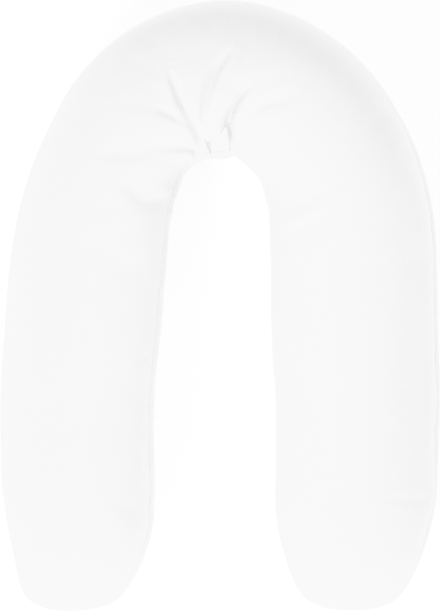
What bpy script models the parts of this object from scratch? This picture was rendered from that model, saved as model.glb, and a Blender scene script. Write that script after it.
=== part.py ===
"""A long body pillow, bent into an arch and lying on its back. Metres, +Z up.

It is one cotton cover filled tight: a top and a bottom panel sewn together all round, so one seam runs
along the outer edge, round both tips and along the gap between the arms. The arms lie along -Y and the
bend is at +Y. Where the cover is squeezed on the inside of the bend it folds into creases that fan out
over the crown. The underside is flat on z = 0 where the filling bears on the surface.

Every ring of the cover has a station. In the bend it is the turn of the ring's section in degrees, from
180 at the left arm to 0 at the right one, and along an arm it goes on counting by length.
"""

import math
from collections import namedtuple

import bpy
import numpy as np

# Where the arms end and the bend begins, how far from its centre the bend's middle line runs, and the
# length of a degree of the station.
TIP_Y = -0.485
BEND_Y = 0.157
MIDDLE_REACH = 0.192
DEGREE = math.radians(MIDDLE_REACH)
TIP_STATION = 180.0 + (BEND_Y - TIP_Y) / DEGREE

# The section: how high its widest line and its seam lie, as shares of its height, and the powers of its
# curves above and below the widest line. 2 is an ellipse, more is squarer.
WIDEST_SHARE = 0.42
SEAM_SHARE = 0.51
TOP_POWER = 2.25
UNDER_POWER = 2.6
SEAM_ANGLE = math.asin(((SEAM_SHARE - WIDEST_SHARE) / (1.0 - WIDEST_SHARE)) ** (TOP_POWER / 2.0))

# How far below the surface the section's curve would reach, which is how wide the pillow bears, and over
# what height the skin rolls up from it.
BEARING_DEPTH = 0.011
BEARING_ROLL = 0.006

# How far the seam draws the cover in, and how far above and below it that reaches, with the curves' powers.
SEAM_DRAW = 0.0052
SeamSide = namedtuple("SeamSide", "reach power")
SEAM_TOP = SeamSide(0.050, 1.5)
SEAM_UNDER = SeamSide(0.016, 1.6)

# How finely the cover is divided: rings between stations, closer together where the bend folds the cover,
# and steps round the section above the seam and below the widest line.
RingSpan = namedtuple("RingSpan", "start end rings")
ARM_STATION = TIP_STATION - 16.0
RING_SPANS = (
    RingSpan(180.0 - ARM_STATION, -8.0, 15),
    RingSpan(-8.0, 50.0, 13),
    RingSpan(50.0, 146.0, 84),
    RingSpan(146.0, 188.0, 9),
    RingSpan(188.0, ARM_STATION, 15),
)
TIP_RINGS = 7
TOP_STEPS = 27
UNDER_STEPS = 10

COTTON_WHITE = (0.86, 0.86, 0.855, 1.0)
COTTON_ROUGHNESS = 0.9

# How the cover closes at a tip: how far from the tip its sides, top and underside begin to turn in, and
# the power of each curve.
Closing = namedtuple("Closing", "reach power")
TIP_SIDES = Closing(0.060, 2.3)
TIP_TOP = Closing(0.115, 2.1)
TIP_UNDERSIDE = Closing(0.070, 2.2)

# One row for each section across an arm: how far along Y it lies, where its middle is in X, how wide and
# how high it is.
ArmRow = namedtuple("ArmRow", "y middle_x width height")
LEFT_ARM = (
    ArmRow(TIP_Y, -0.2335, 0.162, 0.148),
    ArmRow(-0.447, -0.2300, 0.1735, 0.160),
    ArmRow(-0.400, -0.2230, 0.203, 0.179),
    ArmRow(-0.350, -0.2200, 0.227, 0.193),
    ArmRow(-0.306, -0.2220, 0.236, 0.200),
    ArmRow(-0.260, -0.2235, 0.239, 0.204),
    ArmRow(-0.150, -0.2240, 0.240, 0.206),
    ArmRow(-0.040, -0.2155, 0.243, 0.207),
    ArmRow(0.060, -0.2080, 0.244, 0.207),
)
RIGHT_ARM = (
    ArmRow(TIP_Y, 0.2065, 0.162, 0.143),
    ArmRow(-0.447, 0.2070, 0.175, 0.154),
    ArmRow(-0.400, 0.2090, 0.209, 0.171),
    ArmRow(-0.350, 0.2100, 0.2415, 0.184),
    ArmRow(-0.306, 0.2135, 0.2535, 0.190),
    ArmRow(-0.260, 0.2150, 0.2535, 0.193),
    ArmRow(-0.150, 0.2160, 0.258, 0.196),
    ArmRow(-0.040, 0.2125, 0.2615, 0.198),
    ArmRow(0.060, 0.2110, 0.261, 0.200),
)

# One row for each section across the bend: which way it points outwards, in degrees from +X, how far from
# the bend's centre its inner and outer edges are, and how high it is.
BendRow = namedtuple("BendRow", "turn inner outer height")
BEND = (
    BendRow(0.0, 0.0745, 0.333, 0.202),
    BendRow(22.5, 0.072, 0.317, 0.205),
    BendRow(45.0, 0.0735, 0.3165, 0.208),
    BendRow(67.5, 0.0765, 0.3205, 0.210),
    BendRow(90.0, 0.073, 0.3225, 0.210),
    BendRow(112.5, 0.0745, 0.313, 0.212),
    BendRow(135.0, 0.074, 0.3015, 0.212),
    BendRow(157.5, 0.0705, 0.295, 0.210),
    BendRow(180.0, 0.0735, 0.3125, 0.208),
)


def smooth_read(places, values, at):
    """Reads a smooth curve through the values, kept at rising places, at every place of an array."""
    places, values = np.asarray(places, float), np.asarray(values, float)
    last = len(places) - 1
    low = np.maximum(np.arange(last + 1) - 1, 0)
    high = np.minimum(np.arange(last + 1) + 1, last)
    slope = (values[high] - values[low]) / (places[high] - places[low])
    i = np.clip(np.searchsorted(places, at, side="right") - 1, 0, last - 1)
    span = places[i + 1] - places[i]
    t = (at - places[i]) / span
    return (
        values[i] * (2 * t**3 - 3 * t**2 + 1)
        + values[i + 1] * (3 * t**2 - 2 * t**3)
        + slope[i] * span * (t**3 - 2 * t**2 + t)
        + slope[i + 1] * span * (t**3 - t**2)
    )


def ease(low, high, value):
    """0 below low, 1 above high, and smooth between them."""
    share = np.clip((value - low) / (high - low), 0.0, 1.0)
    return share * share * (3.0 - 2.0 * share)


def bulge(share, power):
    """A quarter of a superellipse: 0 at share 0, and 1 from share 1 on."""
    return (1.0 - np.clip(1.0 - share, 0.0, 1.0) ** power) ** (1.0 / power)


Sections = namedtuple("Sections", "station x y turn width height")


def sections_of_rows():
    """The rows as columns of sections, from the right tip round the bend to the left tip."""
    rows = []
    for row in RIGHT_ARM:
        rows.append(((row.y - BEND_Y) / DEGREE, row.middle_x, row.y, 0.0, row.width, row.height))
    for row in BEND:
        reach, turn = (row.inner + row.outer) / 2, math.radians(row.turn)
        x, y = reach * math.cos(turn), BEND_Y + reach * math.sin(turn)
        rows.append((row.turn, x, y, row.turn, row.outer - row.inner, row.height))
    for row in reversed(LEFT_ARM):
        rows.append((180.0 - (row.y - BEND_Y) / DEGREE, row.middle_x, row.y, 180.0, row.width, row.height))
    return Sections(*zip(*rows))


SECTIONS = sections_of_rows()


def sections_at(station):
    return Sections(*(smooth_read(SECTIONS.station, column, station) for column in SECTIONS))


def section_curve(sections, angle):
    """How far out of the middle, and how high, the skin is at each angle round its section.

    The angle is 0 at the outer widest line, pi at the inner one, and more than pi under the pillow.
    """
    from_tip = (TIP_STATION - 90.0 - np.abs(sections.station - 90.0)) * DEGREE
    half_width = sections.width / 2 * bulge(from_tip / TIP_SIDES.reach, TIP_SIDES.power)
    widest_z = WIDEST_SHARE * sections.height
    rise = (sections.height - widest_z) * bulge(from_tip / TIP_TOP.reach, TIP_TOP.power)
    drop = (widest_z + BEARING_DEPTH) * bulge(from_tip / TIP_UNDERSIDE.reach, TIP_UNDERSIDE.power)
    top = np.sin(angle) >= 0.0
    power = 2.0 / np.where(top, TOP_POWER, UNDER_POWER)
    cosine, sine = np.cos(angle), np.sin(angle)
    across = half_width * np.copysign(np.abs(cosine) ** power, cosine)
    z = widest_z + np.where(top, rise, drop) * np.copysign(np.abs(sine) ** power, sine)
    rolled = (z + BEARING_ROLL) ** 2 / (4.0 * BEARING_ROLL)
    z = np.where(z > BEARING_ROLL, z, np.where(z > -BEARING_ROLL, rolled, 0.0))
    return across, z


def skin_point(sections, angle):
    across, z = section_curve(sections, angle)
    turn = np.radians(sections.turn)
    return np.stack([sections.x + across * np.cos(turn), sections.y + across * np.sin(turn), z], axis=-1)


def ring_stations():
    stations = [np.linspace(span.start, span.end, span.rings, endpoint=False) for span in RING_SPANS]
    tip = 1.0 - np.cos(np.pi / 2 * (np.arange(TIP_RINGS) + 0.5) / TIP_RINGS)
    tip = TIP_STATION - tip * (TIP_STATION - ARM_STATION)
    return np.concatenate([np.sort(180.0 - tip), *stations, [ARM_STATION], np.sort(tip)])


# The folds, one row for each place that a fold passes, from the crown towards the gap: how deep it is
# there, how far its sides reach to the left and right, looking up the fold away from the gap, and how
# sharply they meet at its bottom, from 0 for a soft trough to 1 for a pinched crease. A depth less than 0
# is a ridge. A fold with an end turn goes on down the inner wall at that turn, past the seam. The cover's
# rings are laid along the guiding folds.
FoldPoint = namedtuple("FoldPoint", "x y depth left right sharp")
Fold = namedtuple("Fold", "name guides end_turn points")
FOLDS = (
    Fold(
        "left_fold",
        True,
        104.6,
        (
            FoldPoint(-0.0765, 0.3661, 0.0000, 0.007, 0.006, 0.0),
            FoldPoint(-0.0743, 0.3540, 0.0050, 0.011, 0.009, 0.0),
            FoldPoint(-0.0713, 0.3419, 0.0084, 0.013, 0.010, 0.1),
            FoldPoint(-0.0659, 0.3282, 0.0104, 0.014, 0.010, 0.2),
            FoldPoint(-0.0606, 0.3146, 0.0114, 0.015, 0.009, 0.3),
            FoldPoint(-0.0546, 0.3009, 0.0118, 0.015, 0.009, 0.5),
            FoldPoint(-0.0478, 0.2873, 0.0112, 0.014, 0.008, 0.8),
            FoldPoint(-0.0394, 0.2736, 0.0110, 0.014, 0.008, 1.0),
            FoldPoint(-0.0311, 0.2585, 0.0125, 0.016, 0.009, 1.0),
        ),
    ),
    Fold(
        "middle_fold",
        True,
        None,
        (
            FoldPoint(0.0200, 0.3960, 0.0000, 0.008, 0.006, 0.0),
            FoldPoint(0.0160, 0.3890, 0.0034, 0.012, 0.007, 0.2),
            FoldPoint(0.0108, 0.3797, 0.0074, 0.016, 0.009, 0.2),
            FoldPoint(0.0030, 0.3676, 0.0104, 0.019, 0.009, 0.2),
            FoldPoint(-0.0045, 0.3540, 0.0124, 0.021, 0.009, 0.2),
            FoldPoint(-0.0099, 0.3403, 0.0132, 0.022, 0.009, 0.2),
            FoldPoint(-0.0144, 0.3267, 0.0130, 0.021, 0.009, 0.2),
            FoldPoint(-0.0182, 0.3115, 0.0120, 0.019, 0.009, 0.2),
            FoldPoint(-0.0215, 0.2964, 0.0102, 0.016, 0.009, 0.2),
            FoldPoint(-0.0238, 0.2812, 0.0076, 0.013, 0.008, 0.1),
            FoldPoint(-0.0245, 0.2645, 0.0042, 0.010, 0.006, 0.0),
            FoldPoint(-0.0205, 0.2510, 0.0000, 0.008, 0.006, 0.0),
            FoldPoint(-0.0110, 0.2330, 0.0000, 0.008, 0.006, 0.0),
        ),
    ),
    Fold(
        "right_fold",
        True,
        73.2,
        (
            FoldPoint(0.0455, 0.3330, 0.0000, 0.008, 0.005, 0.2),
            FoldPoint(0.0394, 0.3262, 0.0055, 0.013, 0.007, 0.3),
            FoldPoint(0.0330, 0.3176, 0.0105, 0.015, 0.009, 0.4),
            FoldPoint(0.0268, 0.3070, 0.0138, 0.015, 0.009, 0.5),
            FoldPoint(0.0212, 0.2964, 0.0158, 0.015, 0.009, 0.6),
            FoldPoint(0.0162, 0.2843, 0.0175, 0.015, 0.009, 0.6),
            FoldPoint(0.0138, 0.2691, 0.0205, 0.015, 0.009, 0.4),
            FoldPoint(0.0159, 0.2555, 0.0260, 0.016, 0.009, 0.2),
        ),
    ),
    Fold(
        "side_fold",
        False,
        113.7,
        (
            FoldPoint(-0.1080, 0.2373, 0.0000, 0.010, 0.012, 0.0),
            FoldPoint(-0.0834, 0.2373, 0.0024, 0.013, 0.016, 0.0),
            FoldPoint(-0.0682, 0.2377, 0.0040, 0.014, 0.018, 0.0),
            FoldPoint(-0.0531, 0.2380, 0.0054, 0.014, 0.018, 0.0),
            FoldPoint(-0.0424, 0.2370, 0.0060, 0.013, 0.017, 0.0),
            FoldPoint(-0.0370, 0.2335, 0.0060, 0.012, 0.015, 0.0),
        ),
    ),
    Fold(
        "slack_fold",
        False,
        None,
        (
            FoldPoint(-0.1010, 0.2985, 0.0000, 0.010, 0.012, 0.0),
            FoldPoint(-0.0910, 0.2949, 0.0014, 0.012, 0.015, 0.0),
            FoldPoint(-0.0788, 0.2900, 0.0026, 0.014, 0.016, 0.0),
            FoldPoint(-0.0667, 0.2840, 0.0030, 0.014, 0.016, 0.0),
            FoldPoint(-0.0546, 0.2765, 0.0028, 0.013, 0.015, 0.0),
            FoldPoint(-0.0445, 0.2680, 0.0014, 0.011, 0.012, 0.0),
        ),
    ),
    Fold(
        "finger",
        False,
        None,
        (
            FoldPoint(0.0330, 0.3800, 0.0000, 0.010, 0.010, 0.0),
            FoldPoint(0.0200, 0.3500, -0.0015, 0.012, 0.013, 0.0),
            FoldPoint(0.0080, 0.3200, -0.0022, 0.013, 0.014, 0.0),
            FoldPoint(-0.0030, 0.2900, -0.0025, 0.013, 0.013, 0.0),
            FoldPoint(-0.0080, 0.2640, -0.0020, 0.012, 0.012, 0.0),
        ),
    ),
)

# The power of a crease's sides, how many steps there are from one of a fold's rows to the next, the angles
# down the inner wall that a fold with an end turn goes on to, and how far outside a fold's box it reaches.
# The rings are laid along the guiding folds a few times, until they settle.
CREASE_POWER = 1.5
FOLD_STEPS = 12
FOLD_ENDS = (math.pi, math.pi + 0.9)
NEAR_A_FOLD = 0.03
GUIDE_PASSES = 4

# Between the left and right folds the cover is tucked in under the finger of cloth above it, down to the
# seam: the tuck's upper edge in plan, how deep it is, over what length it falls away at that edge, and the
# heights, as shares of the bend's, between which it grows to its full depth.
TUCK_EDGE = ((-0.0303, 0.2570), (-0.0197, 0.2509), (-0.0106, 0.2524), (0.0000, 0.2600), (0.0110, 0.2690))
TUCK_DEPTH = 0.018
TUCK_FALL = 0.005
TUCK_RISE = (0.43, 0.64)
TUCK_SIDES = ("left_fold", "right_fold")

# Towards the seam the folds grow shallower, down to this share of their depth, and they die out below it.
# The heights are shares of the bend's height.
SEAM_DEPTH_SHARE = 0.3
FOLD_RISE = (0.49, 0.66)
FOLD_END = (0.08, 0.36)


def station_and_angle(x, y):
    """The station and the angle round its section of the place on the crown over a spot in plan."""
    if y > BEND_Y:
        station = math.degrees(math.atan2(y - BEND_Y, x))
        section = sections_at(np.array(station))
        across = math.hypot(x, y - BEND_Y) - math.hypot(section.x, section.y - BEND_Y)
    else:
        station = 90.0 - math.copysign(90.0 + (BEND_Y - y) / DEGREE, x)
        section = sections_at(np.array(station))
        across = math.copysign(1.0, x) * (x - section.x)
    share = float(np.clip(across / (section.width / 2), -1.0, 1.0))
    return station, math.acos(math.copysign(abs(share) ** (TOP_POWER / 2.0), share))


def fold_line(fold):
    """A fold's line on the smooth cover: turns, angles, depths, its reach to either side and sharpness."""
    rows = [(*station_and_angle(p.x, p.y), *p[2:]) for p in fold.points]
    if fold.end_turn:
        rows += [(fold.end_turn, angle, *rows[-1][2:]) for angle in FOLD_ENDS]
    places = np.arange(len(rows))
    at = np.linspace(0, len(rows) - 1, (len(rows) - 1) * FOLD_STEPS + 1)
    return np.stack([smooth_read(places, column, at) for column in zip(*rows)])


def drawn_over(stations, reach):
    """The turn at which a ring lies at this reach from the bend's centre.

    The ring nearest to each guiding fold is laid along its bottom, and draws its neighbours with it.
    """
    guides = []
    for fold in FOLDS:
        if fold.guides:
            turns, angles, *_ = fold_line(fold)
            turns, angles = turns[angles < math.pi], angles[angles < math.pi]
            sections = sections_at(turns)
            across, _ = section_curve(sections, angles)
            reaches = np.hypot(sections.x, sections.y - BEND_Y) + across
            order = np.argsort(reaches)
            turn = np.interp(reach, reaches[order], turns[order])
            guides.append((stations[np.argmin(np.abs(stations - turn.mean()))], turn))
    guides.sort(key=lambda guide: guide[0])
    homes = [0.0, *(home for home, _ in guides), 180.0]
    turns = [np.zeros_like(reach), *(turn for _, turn in guides), np.full_like(reach, 180.0)]
    drawn = np.broadcast_to(stations[:, None], reach.shape).copy()
    for low, high, low_turn, high_turn in zip(homes, homes[1:], turns, turns[1:]):
        between = (stations[:, None] >= low) & (stations[:, None] <= high)
        share = (stations[:, None] - low) / (high - low)
        drawn = np.where(between, low_turn + share * (high_turn - low_turn), drawn)
    return drawn


def section_angles():
    """The steps round a section: from the outer seam over the crown to the inner one, and back under."""
    top = SEAM_ANGLE + (math.pi - 2.0 * SEAM_ANGLE) * np.arange(TOP_STEPS + 1) / TOP_STEPS
    under = math.pi * (1.0 + np.arange(UNDER_STEPS + 1) / UNDER_STEPS)
    return np.concatenate([top, under])


def cover_grid():
    """Every point of the cover before its folds, ring by ring, with the rings laid along the folds."""
    stations, angles = ring_stations(), section_angles()
    drawn = stations[:, None]
    for _ in range(GUIDE_PASSES):
        sections = sections_at(drawn)
        across, _ = section_curve(sections, angles)
        drawn = drawn_over(stations, np.hypot(sections.x, sections.y - BEND_Y) + across)
    return skin_point(sections_at(drawn), angles)


def closed_mesh(points):
    """Joins the rings into one closed mesh, with a fan over each tip."""
    rings, around, _ = points.shape
    tips = [points[0].mean(axis=0), points[-1].mean(axis=0)]
    tips[0][1] = tips[1][1] = TIP_Y
    corners = np.concatenate([points.reshape(-1, 3), tips])
    faces = []
    for ring in range(rings - 1):
        for k in range(around):
            a, b = ring * around + k, ring * around + (k + 1) % around
            faces.append((a, a + around, b + around, b))
    last, tip = (rings - 1) * around, rings * around
    for k in range(around):
        beside = (k + 1) % around
        faces += [(k, beside, tip), (last + beside, last + k, tip + 1)]
    mesh = bpy.data.meshes.new("pillow")
    mesh.from_pydata(corners.tolist(), [], faces)
    mesh.update()
    return mesh


def read_points(mesh):
    return np.array([vertex.co for vertex in mesh.vertices])


def read_normals(mesh):
    return np.array([normal.vector for normal in mesh.vertex_normals])


def write_points(mesh, points):
    mesh.vertices.foreach_set("co", points.ravel())
    mesh.update()


def nearest_on(line, points):
    """For each point: its distance from a line of points in space, its place along it, and its offset."""
    best = np.full(len(points), np.inf)
    place = np.zeros(len(points))
    offset = np.zeros_like(points)
    for k, (a, b) in enumerate(zip(line, line[1:])):
        run = b - a
        along = np.clip(((points - a) @ run) / (run @ run), 0.0, 1.0)
        away = points - a - along[:, None] * run
        distance = np.linalg.norm(away, axis=1)
        nearer = distance < best
        best[nearer] = distance[nearer]
        place[nearer] = k + along[nearer]
        offset[nearer] = away[nearer]
    return best, place, offset


def fold_depth(fold, points, normals):
    """How far each point sinks into a fold."""
    stations, angles, depth, left, right, sharp = fold_line(fold)
    line = skin_point(sections_at(stations), angles)
    half_box = np.ptp(line, axis=0) / 2 + NEAR_A_FOLD
    near = np.flatnonzero(np.all(np.abs(points - line.mean(axis=0)) < half_box, axis=1))
    distance, place, offset = nearest_on(line, points[near])
    k = np.arange(len(line))
    run = np.gradient(line, axis=0)
    run = np.stack([np.interp(place, k, column) for column in run.T], axis=-1)
    on_left = np.einsum("ij,ij->i", np.cross(normals[near], run), offset) < 0
    reach = np.where(on_left, np.interp(place, k, left), np.interp(place, k, right))
    side = np.clip(1.0 - distance / reach, 0.0, 1.0)
    sharp = np.interp(place, k, sharp)
    profile = sharp * side**CREASE_POWER + (1.0 - sharp) * ease(0.0, 1.0, side)
    sunk = np.zeros(len(points))
    sunk[near] = np.interp(place, k, depth) * profile
    return sunk


def tuck_depth(points):
    """How far each point sinks between the left and right folds, below the finger of cloth."""
    edges = []
    for fold in FOLDS:
        if fold.name in TUCK_SIDES:
            stations, angles, *_ = fold_line(fold)
            line = skin_point(sections_at(stations), angles)[angles < math.pi]
            order = np.argsort(line[:, 1])
            edges.append(np.interp(points[:, 1], line[order, 1], line[order, 0]))
    left, right = edges
    edge_x, edge_y = zip(*TUCK_EDGE)
    below = smooth_read(edge_x, edge_y, np.clip(points[:, 0], edge_x[0], edge_x[-1])) - points[:, 1]
    inside = (points[:, 0] > left) & (points[:, 0] < right) & (points[:, 1] > BEND_Y)
    return np.where(inside, TUCK_DEPTH * ease(0.0, TUCK_FALL, below), 0.0)


def folded(points, normals):
    """The points with the folds and the tuck pressed into the cover, square to its surface."""
    level = points[:, 2] / BEND[len(BEND) // 2].height
    folds = sum(fold_depth(fold, points, normals) for fold in FOLDS)
    folds *= SEAM_DEPTH_SHARE + (1.0 - SEAM_DEPTH_SHARE) * ease(*FOLD_RISE, level)
    folds *= ease(*FOLD_END, level)
    tuck = tuck_depth(points) * ease(*TUCK_RISE, level)

    # Where a fold and the tuck meet, the deeper one rules, with a soft change from one to the other.
    sunk = np.where(folds > 0, (np.abs(folds) ** 4 + tuck**4) ** 0.25, folds + tuck)
    return points - normals * sunk[:, None]


def drawn_in(points, normals):
    """The points with both panels drawn in along the seam, square to the surface."""
    around = len(section_angles())
    rings = points[:-2].reshape(-1, around, 3)
    outer, inner = rings[:, 0], rings[::-1, TOP_STEPS]
    first_tip, last_tip = points[-2:-1], points[-1:]
    seam = np.concatenate([first_tip, outer, last_tip, inner, first_tip])
    away, _, _ = nearest_on(seam, points)
    under = np.append(np.tile(np.arange(around) > TOP_STEPS, len(rings)), [False, False])
    reach = np.where(under, SEAM_UNDER.reach, SEAM_TOP.reach)
    power = np.where(under, SEAM_UNDER.power, SEAM_TOP.power)
    drawn = SEAM_DRAW * np.clip(1.0 - away / reach, 0.0, 1.0) ** power
    points = points - normals * drawn[:, None]
    points[:, 2] = np.maximum(points[:, 2], 0.0)
    return points


def on_origin(points):
    """The points with the middle of the pillow's box over the origin."""
    middle = (points.min(axis=0) + points.max(axis=0)) / 2
    return points - [middle[0], middle[1], 0.0]


def cotton():
    material = bpy.data.materials.new("white_cotton")
    material.use_nodes = True
    shader = material.node_tree.nodes["Principled BSDF"]
    shader.inputs["Base Color"].default_value = COTTON_WHITE
    shader.inputs["Roughness"].default_value = COTTON_ROUGHNESS
    shader.inputs["Metallic"].default_value = 0.0
    return material


def pillow():
    mesh = closed_mesh(cover_grid())
    write_points(mesh, folded(read_points(mesh), read_normals(mesh)))
    write_points(mesh, drawn_in(read_points(mesh), read_normals(mesh)))
    write_points(mesh, on_origin(read_points(mesh)))
    mesh.shade_smooth()
    mesh.materials.append(cotton())
    bpy.context.scene.collection.objects.link(bpy.data.objects.new("pillow", mesh))


for old in list(bpy.data.objects):
    bpy.data.objects.remove(old)
pillow()
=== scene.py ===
"""Looks of the body pillow: its cotton cover with the folds at the bend, its seam and the seam's stitches.

Metres, +Z up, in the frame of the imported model. The arms lie along -Y and the bend is at +Y.
"""

import math
from collections import namedtuple

import bpy
import numpy as np
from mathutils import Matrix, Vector, noise
from mathutils.bvhtree import BVHTree
from mathutils.kdtree import KDTree


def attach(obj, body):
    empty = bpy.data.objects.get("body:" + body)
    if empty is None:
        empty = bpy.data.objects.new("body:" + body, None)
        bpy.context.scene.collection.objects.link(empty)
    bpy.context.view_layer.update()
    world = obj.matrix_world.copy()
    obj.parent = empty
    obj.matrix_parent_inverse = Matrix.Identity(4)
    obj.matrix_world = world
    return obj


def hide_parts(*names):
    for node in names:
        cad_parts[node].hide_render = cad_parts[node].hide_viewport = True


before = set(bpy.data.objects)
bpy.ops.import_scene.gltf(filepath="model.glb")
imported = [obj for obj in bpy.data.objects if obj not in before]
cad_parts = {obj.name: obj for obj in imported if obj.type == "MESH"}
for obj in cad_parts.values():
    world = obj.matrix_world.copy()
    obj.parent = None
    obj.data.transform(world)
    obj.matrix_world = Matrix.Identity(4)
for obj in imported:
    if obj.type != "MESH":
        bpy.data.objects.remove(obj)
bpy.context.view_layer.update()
scene = bpy.context.scene

# ---------------------------------------------------------------------------------------------------------
# The cover. Two long panels of white cotton, cut with round ends, sewn together all round, turned and
# filled tight with fibre. It is made as rings of one section, swept from the right tip round the bend to
# the left tip, then folded where the bend squeezes it, and let swell against its folds and its seam.
# ---------------------------------------------------------------------------------------------------------

# Every ring has a station. In the bend it is the turn of the ring's section in degrees, from 180 at the
# left arm to 0 at the right one. Along an arm it goes on counting by length: DEGREE is the length that a
# degree has at the middle reach, halfway between the bend's inner and outer edges.
TIP_Y = -0.4865
BEND_Y = 0.157
MIDDLE_REACH = 0.192
DEGREE = math.radians(MIDDLE_REACH)
TIP_STATION = 180.0 + (BEND_Y - TIP_Y) / DEGREE

# The section: how high its widest line and its seam lie, as shares of its height, and the powers of its
# curves above and below the widest line. 2 is an ellipse, more is squarer. The underside's curve goes a
# little below z = 0, and is laid flat there with a soft roll at the edges of the strip that bears.
WIDEST_SHARE = 0.42
SEAM_SHARE = 0.51
TOP_POWER = 2.25
UNDER_POWER = 2.6
BEARING_DEPTH = 0.011
BEARING_ROLL = 0.006
SEAM_ANGLE = math.asin(((SEAM_SHARE - WIDEST_SHARE) / (1.0 - WIDEST_SHARE)) ** (TOP_POWER / 2.0))

# How the cover closes at a tip: how far from the tip its sides, top and underside begin to turn in, and
# the power of each curve.
Closing = namedtuple("Closing", "reach power")
TIP_SIDES = Closing(0.060, 2.6)
TIP_TOP = Closing(0.115, 2.1)
TIP_UNDERSIDE = Closing(0.070, 2.2)

# One row for each section across an arm: how far along Y it lies, where its middle is in X, how wide and
# how high it is.
ArmRow = namedtuple("ArmRow", "y middle_x width height")
LEFT_ARM = (
    ArmRow(TIP_Y, -0.2345, 0.165, 0.148),
    ArmRow(-0.447, -0.2305, 0.1745, 0.160),
    ArmRow(-0.400, -0.2230, 0.203, 0.179),
    ArmRow(-0.350, -0.2200, 0.227, 0.193),
    ArmRow(-0.306, -0.2220, 0.236, 0.200),
    ArmRow(-0.260, -0.2235, 0.239, 0.204),
    ArmRow(-0.150, -0.2240, 0.240, 0.206),
    ArmRow(-0.040, -0.2155, 0.243, 0.207),
    ArmRow(0.060, -0.2080, 0.244, 0.207),
)
RIGHT_ARM = (
    ArmRow(TIP_Y, 0.2080, 0.166, 0.143),
    ArmRow(-0.447, 0.2085, 0.180, 0.154),
    ArmRow(-0.400, 0.2105, 0.214, 0.171),
    ArmRow(-0.350, 0.2115, 0.2415, 0.184),
    ArmRow(-0.306, 0.2135, 0.2535, 0.190),
    ArmRow(-0.260, 0.2150, 0.2535, 0.193),
    ArmRow(-0.150, 0.2160, 0.258, 0.196),
    ArmRow(-0.040, 0.2125, 0.2615, 0.198),
    ArmRow(0.060, 0.2110, 0.261, 0.200),
)

# One row for each section across the bend: which way it points outwards, in degrees from +X, how far from
# the bend's centre its inner and outer edges are, and how high it is.
BendRow = namedtuple("BendRow", "turn inner outer height")
BEND = (
    BendRow(0.0, 0.0745, 0.333, 0.202),
    BendRow(22.5, 0.072, 0.317, 0.205),
    BendRow(45.0, 0.0735, 0.3165, 0.208),
    BendRow(67.5, 0.0765, 0.3205, 0.210),
    BendRow(90.0, 0.073, 0.3225, 0.210),
    BendRow(112.5, 0.0745, 0.313, 0.212),
    BendRow(135.0, 0.074, 0.3015, 0.212),
    BendRow(157.5, 0.0705, 0.295, 0.210),
    BendRow(180.0, 0.0735, 0.3125, 0.208),
)

# How the cover is divided: rings between stations, closer together where the bend folds the cover, and
# columns round the section, in the top panel and in the bottom one. The first columns lie at these
# distances from the seam, closer where a panel is narrower than the full girth. The steps are those that
# a section's girth is measured in.
RingSpan = namedtuple("RingSpan", "start end rings")
TIP_SPAN = 16.0
ARM_STATION = TIP_STATION - TIP_SPAN
RING_SPANS = (
    RingSpan(180.0 - ARM_STATION, -8.0, 120),
    RingSpan(-8.0, 50.0, 72),
    RingSpan(50.0, 130.0, 150),
    RingSpan(130.0, 188.0, 72),
    RingSpan(188.0, ARM_STATION, 120),
)
TIP_RINGS = 36
TOP_COLUMNS = 108
UNDER_COLUMNS = 52
COLUMNS = TOP_COLUMNS + UNDER_COLUMNS
SEAM_COLUMNS = (0.0007, 0.0016, 0.0028, 0.0044, 0.0066, 0.0096)
FULL_GIRTH = 0.12
GIRTH_STEPS = 720


def smooth_read(places, values, at):
    """Reads a smooth curve through the values, kept at rising places, at every place of an array."""
    places, values = np.asarray(places, float), np.asarray(values, float)
    last = len(places) - 1
    low = np.maximum(np.arange(last + 1) - 1, 0)
    high = np.minimum(np.arange(last + 1) + 1, last)
    slope = (values[high] - values[low]) / (places[high] - places[low])
    i = np.clip(np.searchsorted(places, at, side="right") - 1, 0, last - 1)
    span = places[i + 1] - places[i]
    t = (at - places[i]) / span
    return (
        values[i] * (2 * t**3 - 3 * t**2 + 1)
        + values[i + 1] * (3 * t**2 - 2 * t**3)
        + slope[i] * span * (t**3 - 2 * t**2 + t)
        + slope[i + 1] * span * (t**3 - t**2)
    )


def ease(low, high, value):
    """0 below low, 1 above high, and smooth between them."""
    share = np.clip((value - low) / (high - low), 0.0, 1.0)
    return share * share * (3.0 - 2.0 * share)


def bulge(share, power):
    """A quarter of a superellipse: 0 at share 0, and 1 from share 1 on."""
    return (1.0 - np.clip(1.0 - share, 0.0, 1.0) ** power) ** (1.0 / power)


Sections = namedtuple("Sections", "station x y turn width height")


def sections_of_rows():
    """The rows as columns of sections, from the right tip round the bend to the left tip."""
    rows = []
    for row in RIGHT_ARM:
        rows.append(((row.y - BEND_Y) / DEGREE, row.middle_x, row.y, 0.0, row.width, row.height))
    for row in BEND:
        reach, turn = (row.inner + row.outer) / 2, math.radians(row.turn)
        x, y = reach * math.cos(turn), BEND_Y + reach * math.sin(turn)
        rows.append((row.turn, x, y, row.turn, row.outer - row.inner, row.height))
    for row in reversed(LEFT_ARM):
        rows.append((180.0 - (row.y - BEND_Y) / DEGREE, row.middle_x, row.y, 180.0, row.width, row.height))
    return Sections(*zip(*rows))


SECTIONS = sections_of_rows()


def sections_at(station):
    return Sections(*(smooth_read(SECTIONS.station, column, station) for column in SECTIONS))


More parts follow.
